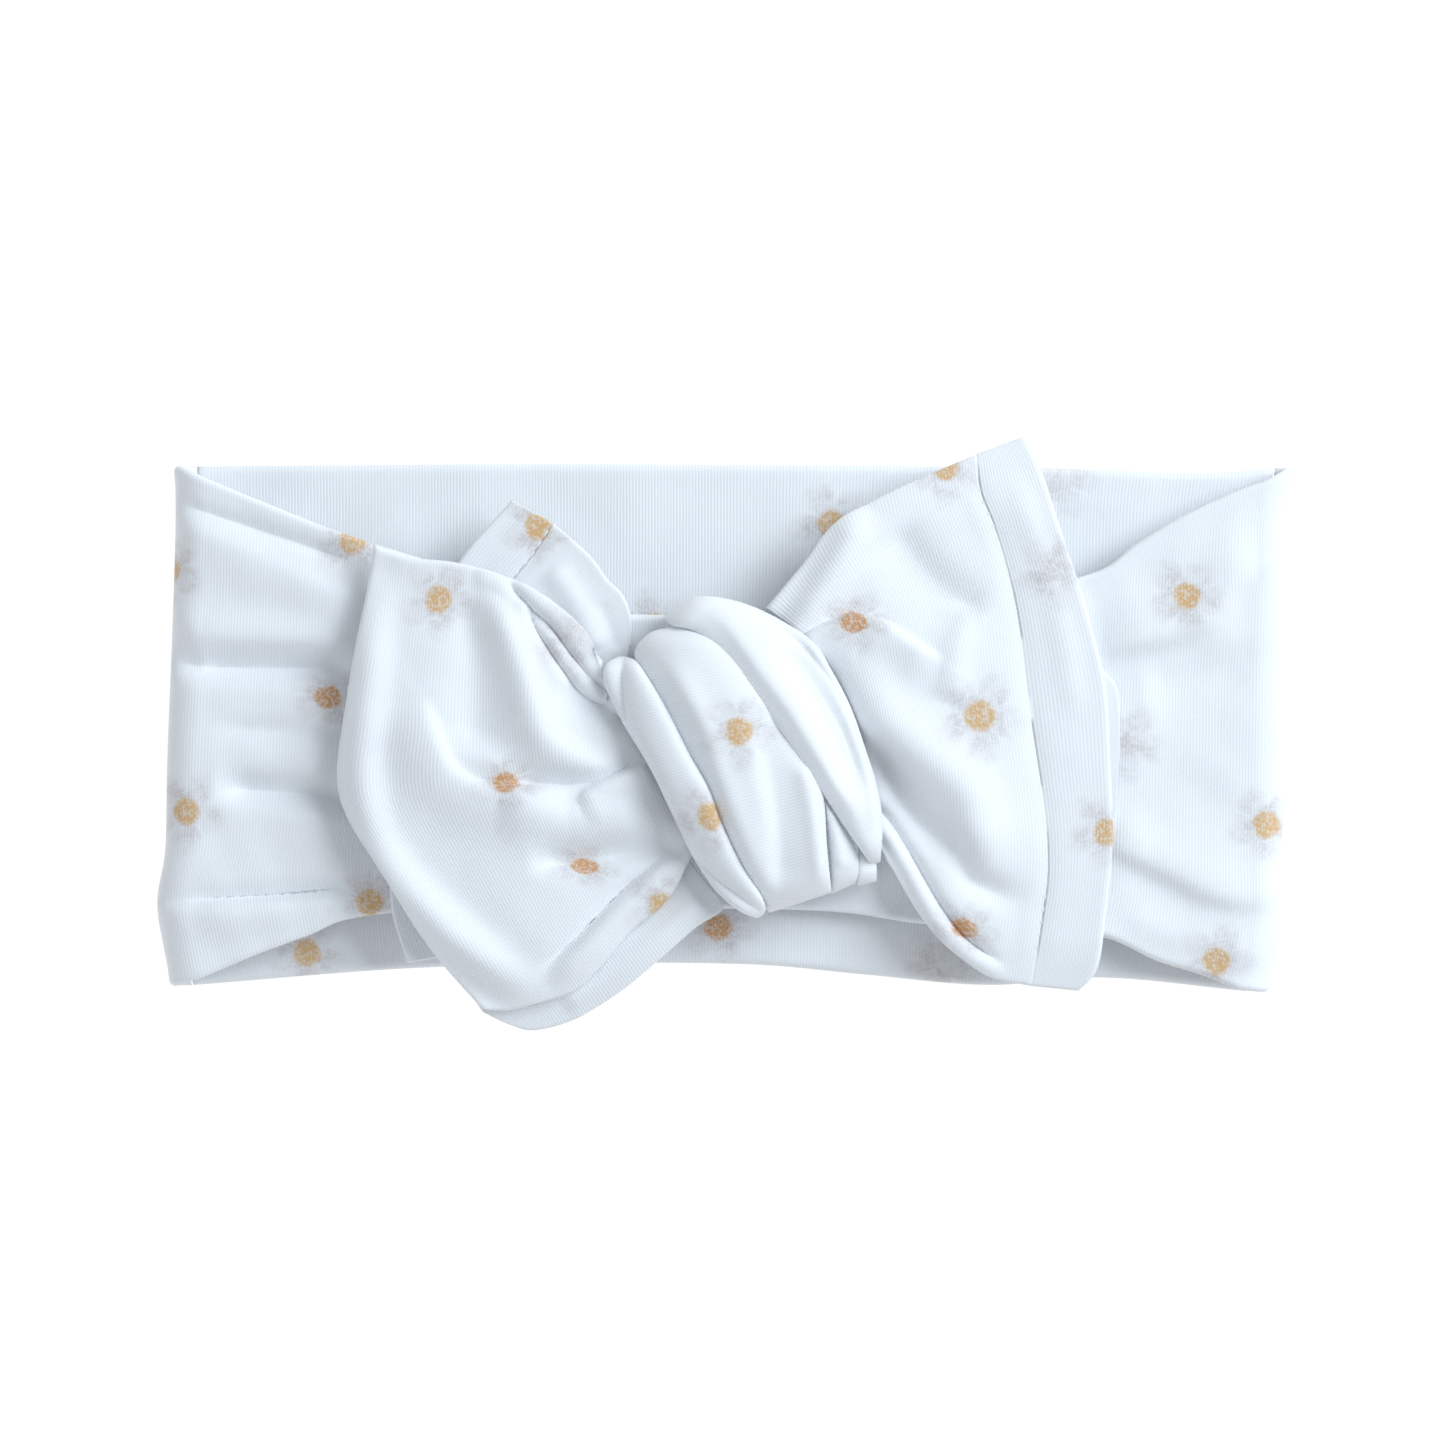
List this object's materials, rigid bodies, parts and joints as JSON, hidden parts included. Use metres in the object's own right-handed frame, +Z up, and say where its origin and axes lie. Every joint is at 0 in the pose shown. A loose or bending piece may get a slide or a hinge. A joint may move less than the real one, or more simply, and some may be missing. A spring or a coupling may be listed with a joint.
{
  "type": "knotted headband",
  "caption": "Wide stretch-jersey headband tied in a wrapped knot at the front, with a folded loop and hemmed tails, lying flat.",
  "frame": {"origin": "middle of the object's outline in plan, on the surface it lies on", "axes": "+X along the flattened band to the right tail's side, +Y across the band, +Z up out of the surface to the knot"},
  "size_m": [0.1922, 0.1002, 0.0264],
  "materials": {
    "printed_jersey": "matte white stretch jersey with a sparse daisy print",
    "stitch_thread": "white sewing thread"
  },
  "bodies": {
    "back": {"back_panel_outer": "printed_jersey", "back_panel_inner": "printed_jersey", "back_seam_allowance": "printed_jersey", "left_side_fold": "printed_jersey", "right_side_fold": "printed_jersey"},
    "front_left": {"front_left_panel": "printed_jersey"},
    "front_right": {"front_right_panel": "printed_jersey"},
    "knot": {"band_under_knot": "printed_jersey", "knot_core": "printed_jersey", "knot_left_roll": "printed_jersey", "knot_centre_wrap": "printed_jersey", "knot_right_wrap": "printed_jersey", "knot_tuck_inner": "printed_jersey", "knot_tuck_outer": "printed_jersey"},
    "left_loop": {"left_loop_upper": "printed_jersey", "left_loop_roll": "printed_jersey", "left_loop_fold_band": "printed_jersey", "left_loop_under": "printed_jersey"},
    "left_tail": {"left_tail_panel": "printed_jersey", "left_tail_hem": "printed_jersey", "left_hem_stitching": "stitch_thread"},
    "right_tail": {"right_tail_upper": "printed_jersey", "right_tail_lower_fold": "printed_jersey", "right_tail_hem": "printed_jersey", "right_tail_under": "printed_jersey", "right_hem_stitching": "stitch_thread"}
  },
  "joints": [
    {"name": "knot_lift", "type": "slide", "parent": "back", "child": "knot", "axis": [0, 0, 1], "range_m": [0, 0.035]},
    {"name": "left_panel_fold", "type": "hinge", "parent": "back", "child": "front_left", "pos_m": [-0.0885, 0, 0.0101], "axis": [0, -1, 0], "range_deg": [0, 30]},
    {"name": "right_panel_fold", "type": "hinge", "parent": "back", "child": "front_right", "pos_m": [0.0885, 0, 0.0101], "axis": [0, 1, 0], "range_deg": [0, 30]},
    {"name": "left_loop_lift", "type": "hinge", "parent": "knot", "child": "left_loop", "pos_m": [-0.014, -0.0056, 0.0172], "axis": [-0.4129, 0.9108, 0], "range_deg": [0, 70]},
    {"name": "left_tail_swing", "type": "hinge", "parent": "knot", "child": "left_tail", "pos_m": [-0.012, -0.004, 0.0114], "axis": [0, 0, 1], "range_deg": [-14, 0]},
    {"name": "right_tail_lift", "type": "hinge", "parent": "knot", "child": "right_tail", "pos_m": [0.0205, 0.006, 0.0152], "axis": [0.3998, -0.9166, 0], "range_deg": [0, 70]}
  ],
  "couplings": [
    {"joint": "left_panel_fold", "follows": "knot_lift", "rad_per_m": 14.6},
    {"joint": "right_panel_fold", "follows": "knot_lift", "rad_per_m": 14.6}
  ]
}
